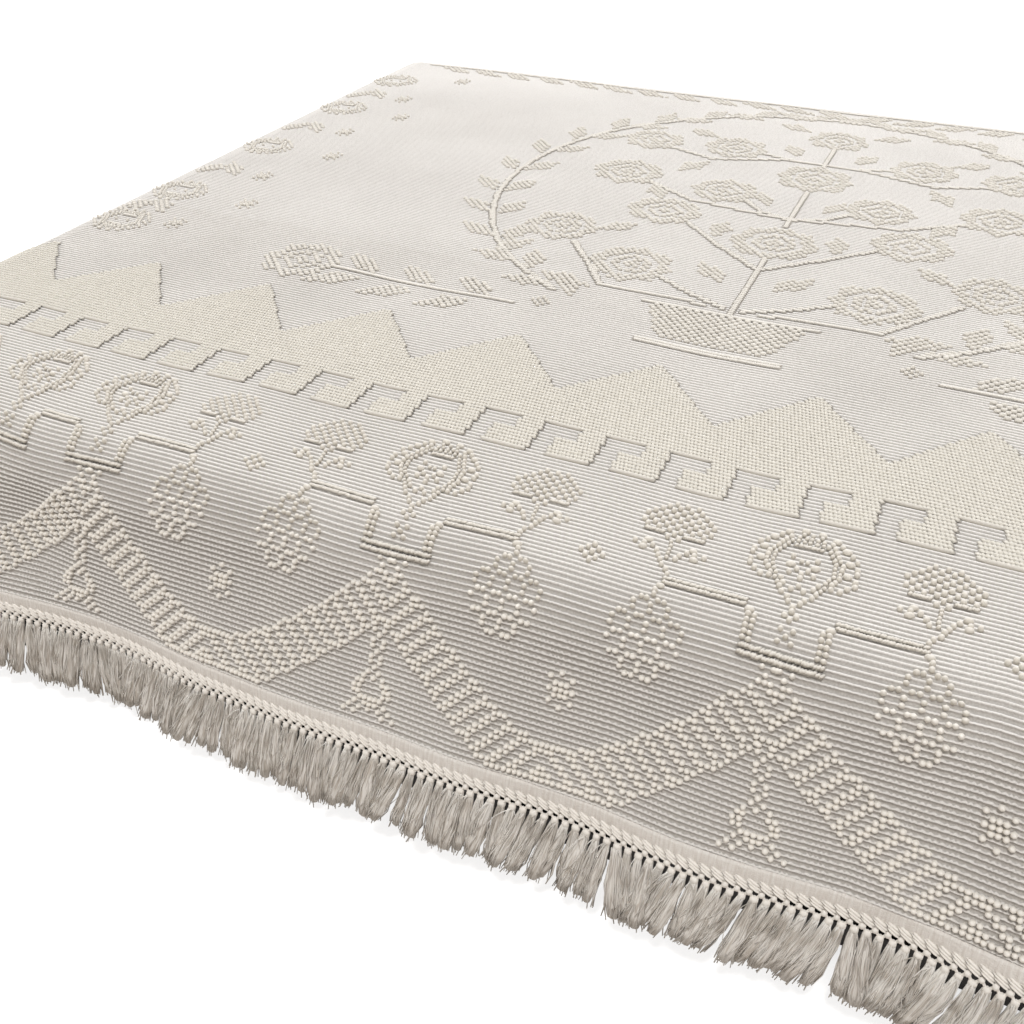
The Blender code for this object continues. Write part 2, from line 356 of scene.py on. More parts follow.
class Nodes:
    """A small builder for one material's nodes."""

    def __init__(self, name, roughness=0.9, sheen=0.25):
        self.material = bpy.data.materials.new(name)
        self.material.use_nodes = True
        self.tree = self.material.node_tree
        self.shader = self.tree.nodes["Principled BSDF"]
        self.set(self.shader, "Roughness", roughness)
        self.set(self.shader, "Sheen Weight", sheen)
        self.set(self.shader, "Sheen Roughness", 0.6)
        self.set(self.shader, "Specular IOR Level", 0.15)

    def add(self, kind, **values):
        node = self.tree.nodes.new(kind)
        for key, value in values.items():
            setattr(node, key, value)
        return node

    def set(self, node, key, value):
        """Sets a node's input to a number or colour, or links a socket or a Value to it."""
        if isinstance(value, Value):
            value = value.socket
        if isinstance(value, bpy.types.NodeSocket):
            self.tree.links.new(value, node.inputs[key])
        else:
            node.inputs[key].default_value = value

    def math(self, operation, *terms):
        node = self.add("ShaderNodeMath", operation=operation)
        for k, term in enumerate(terms):
            self.set(node, k, term)
        return Value(self, node.outputs[0])

    def surface(self, output):
        """The place or the normal of the point that is shaded, in world space."""
        return self.add("ShaderNodeNewGeometry").outputs[output]

    def flat(self):
        """The point's place on the flat cloth or along the fringe, in metres."""
        return self.add("ShaderNodeUVMap", uv_map="flat").outputs["UV"]

    def part(self, vector, axis):
        node = self.add("ShaderNodeSeparateXYZ")
        self.set(node, 0, vector)
        return Value(self, node.outputs[axis])

    def stretched_noise(self, across, along, detail, curl=0.0):
        """Noise in lines, at its scales across and along them on the flat place."""
        node = self.add("ShaderNodeCombineXYZ")
        self.set(node, 0, self.part(self.flat(), 0) * across)
        self.set(node, 1, self.part(self.flat(), 1) * along)
        return self.noise(node.outputs[0], 1.0, detail, curl)

    def noise(self, place, scale, detail=3.0, curl=0.0):
        node = self.add("ShaderNodeTexNoise")
        self.set(node, "Scale", scale)
        self.set(node, "Detail", detail)
        self.set(node, "Distortion", curl)
        self.set(node, "Vector", place)
        return Value(self, node.outputs["Fac"])

    def colours(self, tone, low, high, start=0.3, end=0.7):
        """Base colour from low, where the tone is at start, to high, where it is at end."""
        node = self.add("ShaderNodeValToRGB")
        for element, position, colour in zip(node.color_ramp.elements, (start, end), (low, high)):
            element.position = position
            element.color = (*colour, 1)
        self.set(node, "Fac", tone)
        self.set(self.shader, "Base Color", node.outputs["Color"])

    def bump(self, height, distance, strength=1.0):
        node = self.add("ShaderNodeBump")
        self.set(node, "Distance", distance)
        self.set(node, "Strength", strength)
        self.set(node, "Height", height)
        self.set(self.shader, "Normal", node.outputs["Normal"])


def ribbed_cotton():
    """Ivory cords over a finely woven ground, with painted light: a painted highlight along each
    cord's crest and painted shade in the grooves between.

    The cords sway where the cloth is slack, on the fall, and there the painted highlight is
    narrower and dimmer and a painted shadow line runs beneath each crest; the painted highlight
    and shade are stronger in a band along the top's edges.
    """
    made = Nodes("ribbed_cotton")
    u = made.part(made.flat(), 0)
    v = made.part(made.flat(), 1)
    slack = ((abs(v) - (HALF_Y + 0.01)) * 14.0).between(0.15, 1.0)
    # band: how strongly the ribs' painted highlight and shade are raised near the top's edges.
    band = (1.0 - abs(abs(v) - PAINTED_CONTRAST_BAND) * 6.5).at_least(0.0)

    turns = u * (1 / SWAY_LENGTH) + made.noise(made.flat(), scale=40.0, detail=2.0) * 4.0
    # The sway sits shifted upward, so that the painted highlight keeps to each cord's lit upper
    # side.
    sway = (made.math("SINE", turns * (2 * math.pi)) * 0.06 - 0.07) * slack
    above_crest = made.math("FRACT", v * (1 / RIB) + sway + 0.5) - 0.5
    # crest: the cord's raised middle, used for its bump and for a painted highlight along it.
    crest = (1.7 - abs(above_crest) * (slack * 2.8 + 6.2)).between(0.0, 1.0)
    # shade: a painted shadow line just beneath each crest, on the fall.
    shade = (1.0 - abs(above_crest + 0.27) * 9.0).at_least(0.0) * slack

    slow = made.noise(made.surface("Position"), scale=5.0, detail=4.0)
    fuzz = made.noise(made.surface("Position"), scale=700.0)
    # Painted light: the crests bright, less so on the fall and more in the band; slow and fuzz
    # are random tone.
    tone = crest * (0.54 - slack * 0.10 + band * 0.10) + slow * 0.20 + fuzz * 0.45
    # Painted shade: the shadow line under the crests, and darker grooves in the band.
    tone = tone - (shade * 0.10 + 0.055) - band * 0.03
    # The ramp runs from the grooves' painted shade to the crests' painted highlight.
    made.colours(tone, (0.40, 0.378, 0.350), (1.0, 0.985, 0.96), start=0.10, end=0.85)
    made.bump(crest * 0.6 + fuzz * 0.8, distance=0.0010, strength=0.8)
    return made.material


def tuft_cotton(name, shaded, light, fuzz_scale=700.0):
    """Creamy yarn of the tufts with a fine fuzz; painted shade darkens the sides that do not face
    up, and painted light brightens the tufts on the fall.
    """
    made = Nodes(name, sheen=0.3)
    place = made.surface("Position")
    # upward: how far the surface faces up; the tone uses it as painted shade on the tufts' sides.
    upward = made.part(made.surface("Normal"), 2)
    # Below the top's level, on the fall, the tufts get painted light and less painted side shade.
    painted_fall_light = ((TOP - 0.005 - made.part(place, 2)) * 60.0).between(0.0, 1.0)
    patches = made.noise(place, scale=320.0)
    # Painted shade and light: tops paler, sides darker, fall tufts paler; patches are random
    # tone.
    tone = upward * (0.60 - painted_fall_light * 0.40) + painted_fall_light * 0.75 + patches * 0.35
    made.colours(tone, shaded, light, start=0.10, end=1.0)
    made.bump(made.noise(place, fuzz_scale, detail=2.0), distance=0.0007, strength=0.7)
    return made.material


def loop_cotton():
    """Creamy pile of the teeth and keys, in fine slanting strokes."""
    made = Nodes("loop_cotton", sheen=0.3)
    slanted = made.add("ShaderNodeMapping")
    made.set(slanted, "Vector", made.surface("Position"))
    made.set(slanted, "Rotation", (0, 0, 0.90))
    made.set(slanted, "Scale", (1.0, 3.0, 1.0))
    strokes = made.noise(slanted.outputs[0], scale=240.0, detail=2.0)
    made.colours(strokes, (0.735, 0.705, 0.625), (0.875, 0.85, 0.785))
    made.bump(strokes, distance=0.0009, strength=0.7)
    return made.material


def fringe_yarn():
    """Grey-beige yarn with fine hairs along its length."""
    made = Nodes("fringe_yarn", roughness=0.95)
    hairs = made.stretched_noise(across=640.0, along=36.0, detail=1.0, curl=0.4)
    made.colours(hairs, (0.70, 0.655, 0.595), (1.0, 0.985, 0.95), start=0.38, end=0.56)
    made.bump(hairs, distance=0.0016, strength=0.9)
    return made.material


def tape_cotton():
    """The header tape: fine uneven lines across a plain weave."""
    made = Nodes("tape_cotton")
    lines = made.stretched_noise(across=420.0, along=40.0, detail=2.0)
    weave = made.noise(made.surface("Position"), scale=900.0, detail=2.0)
    made.colours(lines, (0.87, 0.83, 0.78), (1.0, 0.975, 0.935), start=0.35, end=0.65)
    made.bump(lines + weave, distance=0.0014, strength=0.8)
    return made.material


def mattress_cover():
    """A near-black woven cover: painted shade, standing for the deep shadow beneath the spread
    that shows between the knots.
    """
    made = Nodes("mattress_cover", roughness=0.95, sheen=0.1)
    place = made.surface("Position")
    patches = made.noise(place, scale=30.0, detail=4.0)
    made.colours(patches, (0.012, 0.012, 0.013), (0.022, 0.021, 0.022))
    made.bump(made.noise(place, scale=900.0, detail=2.0), distance=0.0008, strength=0.6)
    return made.material


# ---- the ribbed cloth ----
def row_columns(v):
    """Flat u of each column on the row at v: close round the side bends, wide on top."""
    past = np.clip(np.abs(v) - HALF_Y, 0, CUT)
    width = np.sqrt(np.maximum(CUT * CUT - past * past, 0.0008**2))
    share = np.array(SIDE_COLUMNS)
    inner = np.linspace(-HALF_X, HALF_X, TOP_COLUMNS + 1)
    inner = np.unique(np.concatenate([inner, EXTRA_COLUMNS]))
    left = -HALF_X - width[:, None] * share[::-1][None, :-1]
    right = HALF_X + width[:, None] * share[None, 1:]
    middle = np.repeat(inner[None, :], len(v), axis=0)
    return np.concatenate([left, middle, right], axis=1)


def rib_rows():
    """Flat v and rise of every row of vertices, and the rows that lie in the grooves."""
    v = []
    rise = []
    grooves = []
    last = int(HEM_ROW)
    for rib in range(-last, last + 1):
        grooves.append(len(v))
        for place, share in NEAR_RIB if rib < NEAR_ROWS else FAR_RIB:
            v.append((rib + place) * RIB)
            rise.append(share * CREST)
    grooves.append(len(v))
    v.append((last + 0.5) * RIB)
    rise.append(0.0)
    v[0] = -HALF_Y - CUT
    v[-1] = HALF_Y + CUT
    return np.array(v), np.array(rise), grooves


def ribbed_cloth(finish):
    """One closed sheet: ribs on its upper side, plain beneath, joined round the hem."""
    v, rise, grooves = rib_rows()
    u = row_columns(v)
    rows, columns = u.shape
    flat = np.stack([u, np.repeat(v[:, None], columns, axis=1)], axis=-1)
    places, _, _, outward = cloth_frames(*flat.reshape(-1, 2).T)
    upper = places + outward * np.repeat(rise, columns)[:, None]
    under = (places + outward * UNDERSIDE).reshape(rows, columns, 3)[grooves].reshape(-1, 3)
    high = np.arange(rows * columns).reshape(rows, columns)
    low = len(upper) + np.arange(len(under)).reshape(-1, columns)
    polygons = [
        grid_quads(high),
        reversed_quads(grid_quads(low)),
        reversed_quads(grid_quads(np.stack([high[0], low[0]]))),
        reversed_quads(grid_quads(np.stack([high[-1, ::-1], low[-1, ::-1]]))),
    ]
    for step, (first, final) in enumerate(zip(grooves, grooves[1:])):
        edge = np.arange(first, final + 1)
        polygons.append(np.append(high[edge, 0], [low[step + 1, 0], low[step, 0]])[None])
        polygons.append(np.append(high[edge[::-1], -1], [low[step, -1], low[step + 1, -1]])[None])
    uv = np.concatenate([flat.reshape(-1, 2), flat[grooves].reshape(-1, 2)])
    return mesh_piece("ribbed_cloth", np.concatenate([upper, under]), polygons, finish, uv)


# ---- the chart of tufts ----
# Kinds of tuft: o a ball, O a wide one, D two side by side, ' a fine loop, - a rope's
# stitch.  A dot is bare cloth.
class Chart:
    """Tufts on the flat cloth, by half cell along X and by row across it, from the centre."""

    def __init__(self, mirrored=False):
        self.marks = {}
        self.sides = (1, -1) if mirrored else (1,)

    def put(self, half, row, kind="o"):
        for side in self.sides:
            self.marks[(side * half, row)] = kind

    def motif(self, centre, row, lines):
        """A chart of the right half of a motif, top row first, mirrored."""
        for drop, line in enumerate(lines):
            for half, kind in enumerate(line):
                if kind != ".":
                    self.put(centre + half, row - drop, kind)
                    self.put(centre - half, row - drop, kind)

    def fill(self, a, b, reach, region):
        """Wide tufts, laid as bricks, where region holds round a centre a, b, in units."""
        for row in range(to_row(b - reach), to_row(b + reach) + 1):
            for half in range(to_half(a - reach), to_half(a + reach) + 1):
                x = half * HALF_CELL / UNIT - a
                y = row * RIB / UNIT - b
                if (half + 2 * (row % 2)) % 4 == 0 and region(x, y):
                    self.put(half, row, "O")

    def rope(self, first, last, row):
        """A double line of stitches, along the rib at row and the next one down."""
        for half in range(min(first, last), max(first, last) + 1):
            self.put(half, row, "-")
            self.put(half, row - 1, "-")

    def places(self, kind):
        marks = [mark for mark in sorted(self.marks) if self.marks[mark] == kind]
        marks = np.array(marks, dtype=float).reshape(-1, 2)
        return marks[:, 0] * HALF_CELL, marks[:, 1]


def to_half(a):
    return round(a * UNIT / HALF_CELL)


def to_row(b):
    return round(b * UNIT / RIB)


def on_cloth(u, v, margin=0.005):
    """Which places lie inside the cloth's rounded outline."""
    return past_edges(u, v) < CUT - margin


# Charts of motifs: the right half of each, mirrored in its first column.
ROSETTE_HEAD = """
...O
'..'....O
'.'.'..o..o
'.'.'.'.o...O
-----..'.o....o
........'.o.....o
.........'.'..O
....o.....'.o....o
.'........'.o....o
....O.....'.'.O
..o.......'.o....o
o...o....'.o.....o
o.......'.o....o
......o.'.o..o
""".split()
ROSETTE_STEM = """
o....o.'
..o...o
.....o
...o
..o
o
o
..o
o
.
..o
o
..o
""".split()
TULIP = """
o...o
..o...o
o...o...o
..o...o...o
o...o...o...o
..o...o...o
o...o...o...o
..o...o...o
o...-------
..o
'
'.......O
'.....o..o..o
'...o....O
'..o
""".split()
BUNCH = """
...D
o.....o
o.....o
...D.....D
o.....o.....o
o.....o.....o
...D.....D
o.....o.....o
o.....o
...D.....D
o.....o
o.....o
...D
""".split()
STAR = """
o
....o
o.o
o.o.o
o.o
....o
o
""".split()
DIAMOND = """
o
..o
o...o
..o
o
""".split()
RING = """
o...o
....o.o
.....o.o
.....o.o
o.o.o
o.o...o
o...o...o
......o...o
""".split()

# Rows of the front border, counted from the cloth's centre, and its places along X.
TOOTH_TIP = -63
TOOTH_ROOT = -82
TOOTH_SPAN = 0.182
TOOTH_START = -0.0364
BASE_ROW = -93
KEY_STEP_ROW = -98
KEY_FOOT_ROW = -103
KEY_SPAN = 0.0700
KEY_START = -0.1105
KEY_GAP = 0.31
KEY_STEM = 0.62
ROSETTE_ROW = -107
STEM_ROW = -121
TULIP_ROW = -108
DIAMOND_ROW = -124
VINE_ROW = -127
POT_ROW = -135
BUNCH_ROW = -132
SWAG_ROW = -137
STAR_ROW = -147
RING_ROW = -158
MIDDLE = 0.005
REPEAT = 138
TULIP_OFF = 25
POT_HALF = 12
CORNER_ROSETTE = 255
CORNER_TULIP = 301


# The hanging border lies askew of the top: over the bend first, then more on the fall.
# Columns: row where a shift sets in, rows it takes, shift along X, its growth with X.
BORDER_SHIFTS = ((-115, 21, 0.0149, -0.044), (-138, 27, 0.0043, 0.053))
SHIFT_REACH = 0.75


def lean(u, row):
    """How far along X the hanging border lies askew of the top."""
    held = np.clip(u, -SHIFT_REACH, SHIFT_REACH)
    return sum(
        np.clip((start - row) / rows, 0, 1) * (shift + growth * held)
        for start, rows, shift, growth in BORDER_SHIFTS
    )


def band_mask(u, row):
    """Where the teeth and the key border are filled."""
    tooth = np.abs((u - TOOTH_START + TOOTH_SPAN / 2) % TOOTH_SPAN - TOOTH_SPAN / 2)
    slope = (TOOTH_TIP - TOOTH_ROOT) / (TOOTH_SPAN / 2)
    in_tooth = (row <= TOOTH_TIP - slope * tooth) & (row >= BASE_ROW)
    key = ((u - KEY_START) / KEY_SPAN) % 1
    in_stem = (key > KEY_STEM) & (row <= BASE_ROW)
    in_foot = (key > KEY_GAP) & (row <= KEY_STEP_ROW)
    return in_tooth | in_stem | in_foot


def potted_rosette(chart, centre):
    """The head, its tapering neck and the stem that stands in the pot."""
    chart.motif(centre, ROSETTE_ROW, ROSETTE_HEAD)
    chart.motif(centre, STEM_ROW, ROSETTE_STEM)
    chart.rope(centre - POT_HALF - 1, centre + POT_HALF + 1, POT_ROW)
    for side in (1, -1):
        for row in range(POT_ROW + 1, VINE_ROW - 2):
            chart.put(centre + side * (POT_HALF - 1), row)
            chart.put(centre + side * (POT_HALF + 1), row)
        chart.put(centre + side * (POT_HALF + 1), VINE_ROW - 2, "O")


def tulip(chart, centre, toward):
    """A lattice head on a stem with two leaves, over its bunch of berries."""
    chart.motif(centre, TULIP_ROW, TULIP)
    for drop, half in enumerate((-2, -1, 1, 2)):
        chart.put(centre + toward * half, TULIP_ROW - len(TULIP) - drop)
    chart.put(centre + toward, VINE_ROW - 2, "O")
    chart.put(centre, VINE_ROW - 3)
    chart.put(centre, VINE_ROW - 4)
    chart.motif(centre, BUNCH_ROW, BUNCH)


# Columns: lowest row below the peak, roundness of the upper and the lower edge.
SWAG_EDGES = ((22.9, 12), (33.0, 14))
SWAG_SLOPE = 0.97
SWAG_TURN = 0.47


def swag(chart, peak):
    """From one peak, striped balls down to the low point and up again."""
    cells = REPEAT // 2
    for step in range(cells):
        away = abs(step + 0.5 - cells / 2)
        top, foot = (
            SWAG_ROW - low + SWAG_SLOPE * (math.hypot(away, roundness) - roundness)
            for low, roundness in SWAG_EDGES
        )
        foot = max(foot, -HEM_ROW + 0.6)
        way = -1 if step < cells * SWAG_TURN else 1
        for row in range(math.ceil(foot), math.floor(top) + 1):
            on_edge = row > top - 1.0 or row < foot + 1.0
            if on_edge or (step + way * row) % 4 < 2:
                chart.put(peak + 2 * step + 1, row)


def pendant(chart, peak):
    """The cap over a peak, and the chain and ring below it."""
    chart.put(peak, SWAG_ROW + 1)
    for half in (-5, 0, 5):
        chart.put(peak + half, SWAG_ROW)
    for row in range(RING_ROW + 1, SWAG_ROW - 10):
        for half in (-2, 2) if row % 3 else (0,):
            chart.put(peak + half, row)
    chart.motif(peak, RING_ROW, RING)


def front_border():
    """Swags below, and above them tulips and potted rosettes joined by a vine."""
    chart = Chart()
    for turn in range(-3, 4):
        swag(chart, turn * REPEAT - REPEAT // 2)
    for middle in range(-2 * REPEAT, 3 * REPEAT, REPEAT):
        chart.motif(middle, DIAMOND_ROW, DIAMOND)
        chart.motif(middle, STAR_ROW, STAR)
        for side in (-1, 1):
            stands = middle + side * TULIP_OFF
            if abs(stands) < CORNER_ROSETTE - TULIP_OFF:
                tulip(chart, stands, side)
                end = middle + side * (REPEAT // 2 - POT_HALF - 3)
                chart.rope(stands + side * 2, end, VINE_ROW)
    for side in (-1, 1):
        outer = side * REPEAT * 3 // 2
        for peak in (side * REPEAT // 2, outer):
            pendant(chart, peak)
            potted_rosette(chart, peak)
        potted_rosette(chart, side * CORNER_ROSETTE)
        end = side * (CORNER_ROSETTE - POT_HALF - 3)
        chart.rope(outer + side * (POT_HALF + 3), end, VINE_ROW)
        end = side * (CORNER_ROSETTE + POT_HALF + 3)
        chart.rope(side * (CORNER_TULIP - 2), end, VINE_ROW)
        tulip(chart, side * CORNER_TULIP, -side)
    return chart


def leaf(chart, a, b, length, width, degrees):
    """A lozenge leaf of wide tufts, turned."""
    c = math.cos(math.radians(degrees))
    s = math.sin(math.radians(degrees))

    def region(x, y):
        return abs(x * c + y * s) / length + abs(y * c - x * s) / width < 1

    chart.fill(a, b, length + 1, region)


def daisy(chart, a, b, radius, petals=8):
    """A ring of pointed petals round a smaller ring and a dot."""

    def region(x, y):
        share = math.hypot(x, y) / radius
        petal = abs(math.cos(petals / 2 * math.atan2(y, x)))
        return share < 0.20 or 0.32 < share < 0.50 or 0.64 < share < 0.86 + 0.16 * petal

    chart.fill(a, b, radius + 1, region)


# The head of the border's rosette, made whole.
ROUND_FLOWER = ROSETTE_HEAD[:8] + ROSETTE_HEAD[6::-1]


def side_borders():
    """Flowers, leaves and small stars down both sides of the top."""
    chart = Chart(mirrored=True)
    for b in (-43, -20, 21, 63, 97):
        chart.motif(to_half(151), to_row(b) + 7, ROUND_FLOWER)
    for b in (-31, 0, 42, 80):
        leaf(chart, 148, b, 6, 2.6, 55)
        leaf(chart, 154, b - 2, 6, 2.6, -55)
    for k, b in enumerate((-39, -21, -2, 20, 41, 60, 77, 104)):
        chart.motif(to_half(137 - 8 * (k % 2)), to_row(b) + 3, STAR)
    return chart


# The centre piece's right half.  Columns: a, b, radius of its flowers.
CENTRE_FLOWERS = (
    (0, 8, 10.0), (0, 56, 10.0), (0, 92, 8.5), (27, -17, 9.5), (50, -2, 9.0), (30, 18, 9.0),
    (20, 38, 8.5), (48, 42, 9.5), (26, 74, 9.0), (50, 72, 8.5), (96, -46, 9.0),
)
# Points (a, b) of its stems.
CENTRE_STEMS = (
    ((0, -33), (0, -3)), ((0, 19), (0, 45)), ((0, 67), (0, 83)),
    ((2, -31), (10, -27), (19, -21)), ((6, -31), (30, -30), (44, -10)),
    ((0, -9), (12, 2), (22, 12)), ((0, 24), (8, 27), (13, 33)), ((0, 24), (26, 28), (40, 37)),
    ((0, 68), (10, 69), (18, 72)), ((10, 69), (30, 62), (43, 67)),
)
# Columns: a, b, length, width, turn of its leaves.
CENTRE_LEAVES = (
    (9, -14, 6.5, 3.0, 50), (38, -31, 7.0, 3.0, 10), (56, -18, 6.5, 3.0, 120),
    (14, 12, 5.5, 2.8, 95), (37, 3, 5.5, 2.8, 140), (36, 31, 6.0, 2.8, 60),
    (9, 36, 5.5, 2.6, 70), (33, 54, 6.5, 3.0, 120), (10, 78, 6.0, 2.8, 60),
    (38, 84, 6.5, 3.0, 30), (14, 100, 6.5, 3.0, 20),
)
BASKET_B = -42
WREATH_A = 76.0
WREATH_B = 80.0
WREATH_MIDDLE = 32.0


def wreath_spot(degrees):
    turn = math.radians(degrees)
    return WREATH_A * math.cos(turn), WREATH_MIDDLE + WREATH_B * math.sin(turn)


def centre_piece():
    """A basket of daisies inside a wreath of leaf sprays."""
    chart = Chart(mirrored=True)

    def basket(x, y):
        return -7 <= y <= 7 and abs(x) < 11 + 0.42 * (y + 7)

    chart.fill(0, BASKET_B, 20, basket)
    for row in CENTRE_FLOWERS:
        daisy(chart, *row)
    for row in CENTRE_LEAVES:
        leaf(chart, *row)
    for degrees in range(-58, 90, 12):
        a, b = wreath_spot(degrees)
        ahead_a, ahead_b = wreath_spot(degrees + 1)
        heading = math.degrees(math.atan2(ahead_b - b, ahead_a - a))
        leaf(chart, a + 4.5, b + 1, 6.5, 2.8, heading - 35)
        leaf(chart, a - 4.5, b + 2, 6.5, 2.8, heading + 35)
    for a in (54, 68, 82):
        leaf(chart, a, BASKET_B, 7, 3.0, 35)
        leaf(chart, a + 3, BASKET_B - 10, 7, 3.0, -30)
    for a in range(6, 150, 12):
        leaf(chart, a, 118, 6.5, 2.6, 20)
    chart.motif(to_half(38), to_row(-44) + 2, DIAMOND)
    return chart


def centre_lines():
    """Lines of the basket, the stems, the wreath's branch and the low sprays."""
    lines = [((-14, -51), (14, -51)), ((-14, -52), (14, -52)), ((-18, -34), (18, -34))]
    lines.append(((-150, 121.5), (150, 121.5)))
    wreath = [wreath_spot(degrees) for degrees in range(-60, 91, 5)]
    sprays = [(44, -47), (88, -47)]
    for side in (1, -1):
        for points in (*CENTRE_STEMS, wreath, sprays):
            mirrored = [(side * a, b) for a, b in points]
            lines += list(zip(mirrored, mirrored[1:]))
    return lines


BALL = bud(6, ((0.90, -0.2), (1.0, 0.38), (0.66, 0.84), (0.0, 1.0)))
FAR_BALL = bud(6, ((1.0, 0.10), (0.72, 0.80), (0.0, 1.0)))
STITCH = bud(5, ((1.0, 0.25), (0.0, 1.0)))
LOOP = bud(4, ((1.0, 0.10), (0.0, 1.0)))
# Height of a tuft's foot over the ground between the ribs.
ROOT = 0.0008
# Half length, half width and height of tufts, in metres.
BALL_SIZE = (0.0029, 0.0027, 0.0052)
STEM_SIZE = (0.0046, 0.0030, 0.0036)
LOOP_SIZE = (0.0058, 0.0039, 0.0019)
# Columns: kind, its template or None for the chart's own, turn, height of its foot, size.
KINDS = (
    ("o", None, 0.0, ROOT, BALL_SIZE),
    ("O", None, 0.06, ROOT, (0.0048, 0.0028, 0.0050)),
    ("'", FAR_BALL, 0.6, ROOT, (0.0026, 0.0023, 0.0046)),
    ("-", STITCH, 0.75, CREST * 0.6, (0.0040, 0.0025, 0.0038)),
    ("D", None, 0.0, ROOT, BALL_SIZE),
)
STEM_STEP = 0.45
# How far tufts stray along X and across it, for an unevenness of one.
STRAY = (0.0030, 0.0022)


def planted(template, u, v, turn, size, unevenness, root):
    """Copies of a template on the cloth, each a little off in turn, place and size."""
    count = len(u)
    kept = on_cloth(u, v)
    turn = turn + draw.normal(0, unevenness, count)
    u = u + draw.normal(0, STRAY[0] * unevenness, count)
    v = v + draw.normal(0, STRAY[1] * unevenness, count)
    sizes = uneven(size, count, unevenness)
    places, along, across, outward = cloth_frames(u[kept], v[kept])
    along, across = turned(along, across, turn[kept])
    return scatter(template, places + outward * root, (along, across, outward), sizes[kept])


def tufts(chart, ball, askew=False):
    """All the tufts of a chart."""
    parts = []
    for kind, template, turn, root, size in KINDS:
        u, row = chart.places(kind)
        if not len(u):
            continue
        if askew:
            u = u + MIDDLE
            u = u + lean(u, row)
        if kind == "D":
            u = np.concatenate([u - HALF_CELL, u + HALF_CELL])
            row = np.concatenate([row, row])
        parts.append(planted(template or ball, u, row * RIB, turn, size, 0.10, root))
    return parts


def stem_stitches():
    """Short stitches that step along the centre piece's lines from rib to rib."""
    chart = Chart()
    for (a0, b0), (a1, b1) in centre_lines():
        count = max(2, round(math.hypot(a1 - a0, b1 - b0) / STEM_STEP))
        for k in range(count + 1):
            half = to_half(a0 + (a1 - a0) * k / count)
            row = to_row(b0 + (b1 - b0) * k / count)
            chart.put(half, row)
            chart.put(half + 1, row)
    u, row = chart.places("o")
    return planted(STITCH, u, row * RIB, 0.35, STEM_SIZE, 0.06, CREST * 0.7)


def loops():
    """Fine loops that fill the teeth and the key border."""
    rows = np.arange(KEY_FOOT_ROW, TOOTH_TIP + 1)
    reach = int((HALF_X + CUT) / FINE_CELL)
    step, row = [grid.ravel() for grid in np.meshgrid(np.arange(-reach, reach + 1), rows)]
    u = (step - TWILL * (row % 3)) * FINE_CELL
    kept = band_mask(u, row) & on_cloth(u, row * RIB)
    return planted(LOOP, u[kept], row[kept] * RIB, -0.90, LOOP_SIZE, 0.04, CREST)


# The rolls: how high they lie, and their radius from end to end.
ROLL_LIFT = 0.0028
ROLL_RADII = (0.0014, 0.0021, 0.0022, 0.0022, 0.0021, 0.0014)
ROLL_GAP = 0.001
# Columns: start and end of a roll from the start of its key, row that it closes.
ROLLS = (
    (ROLL_GAP, KEY_STEM * KEY_SPAN - ROLL_GAP, BASE_ROW),
    (KEY_GAP * KEY_SPAN, KEY_SPAN, KEY_FOOT_ROW),
)


def rolls():
    """Smooth rolls that close the lower edges of the teeth and of the keys' feet."""
    parts = []
    first = math.floor((-HALF_X - CUT - KEY_START) / KEY_SPAN)
    last = math.ceil((HALF_X + CUT - KEY_START) / KEY_SPAN)
    for turn in range(first, last + 1):
        key = KEY_START + turn * KEY_SPAN
        for start, end, row in ROLLS:
            u = np.linspace(key + start, key + end, len(ROLL_RADII))
            v = np.full(len(u), (row - 0.5) * RIB)
            if on_cloth(u, v).all():
                places, _, _, outward = cloth_frames(u, v)
                path = (places + outward * ROLL_LIFT)[None]
                radii = np.array([ROLL_RADII])
                parts.append(tube(path, radii, 8, np.zeros(1), outward[:1])[:2])
    return parts


# ---- the fringe ----
SIDE_RUN = 2 * HALF_Y + HEM_CORNER / 2
FRONT_RUN = 2 * HALF_X + HEM_CORNER
# Columns: side, start of its run along the hem, its length, strands and stray yarns in
# each of its tassels.
HEM_RUNS = (
    ("front", SIDE_RUN, FRONT_RUN, 13, 3),
    ("left", 0.0, SIDE_RUN, 8, 2),
    ("right", SIDE_RUN + FRONT_RUN, SIDE_RUN, 8, 2),
)


def hem_outline(s):
    """Flat hem at a distance from the left side's back end, round the two front corners."""
    side = 2 * HALF_Y
    before_right = side + HEM_CORNER + 2 * HALF_X
    left_turn = np.clip((s - side) / CUT, 0, math.pi / 2)
    right_turn = np.clip((s - before_right) / CUT, 0, math.pi / 2)
    ahead = np.clip(s - side - HEM_CORNER, 0, 2 * HALF_X)
    back = np.maximum(s - before_right - HEM_CORNER, 0) - np.minimum(s, side)
    u = -HALF_X - CUT * np.cos(left_turn) + ahead + CUT * np.sin(right_turn)
    v = HALF_Y + back - CUT * np.sin(left_turn) + CUT * (1 - np.cos(right_turn))
    return u, v


def hem_frames(s):
    """Hem places with their ways along the hem, down the cloth and outward."""
    u, v = hem_outline(s)
    base_u = np.clip(u, -HALF_X, HALF_X)
    base_v = np.clip(v, -HALF_Y, HALF_Y)
    out = unit(np.stack([u - base_u, v - base_v], axis=-1))
    step = 0.002
    places = draped(u, v)
    down = unit(places - draped(u - out[:, 0] * step, v - out[:, 1] * step))
    along = unit(draped(*hem_outline(s + step)) - draped(*hem_outline(s - step)))
    outward = unit(np.cross(along, -down))
    flip = np.sign(outward[:, 0] * out[:, 0] + outward[:, 1] * out[:, 1] + 1e-6)
    return places, along, down, outward * flip[:, None]


def toward_vertical(ways, share):
    return unit(ways * (1 - share) + np.array([0.0, 0.0, -1.0]) * share)


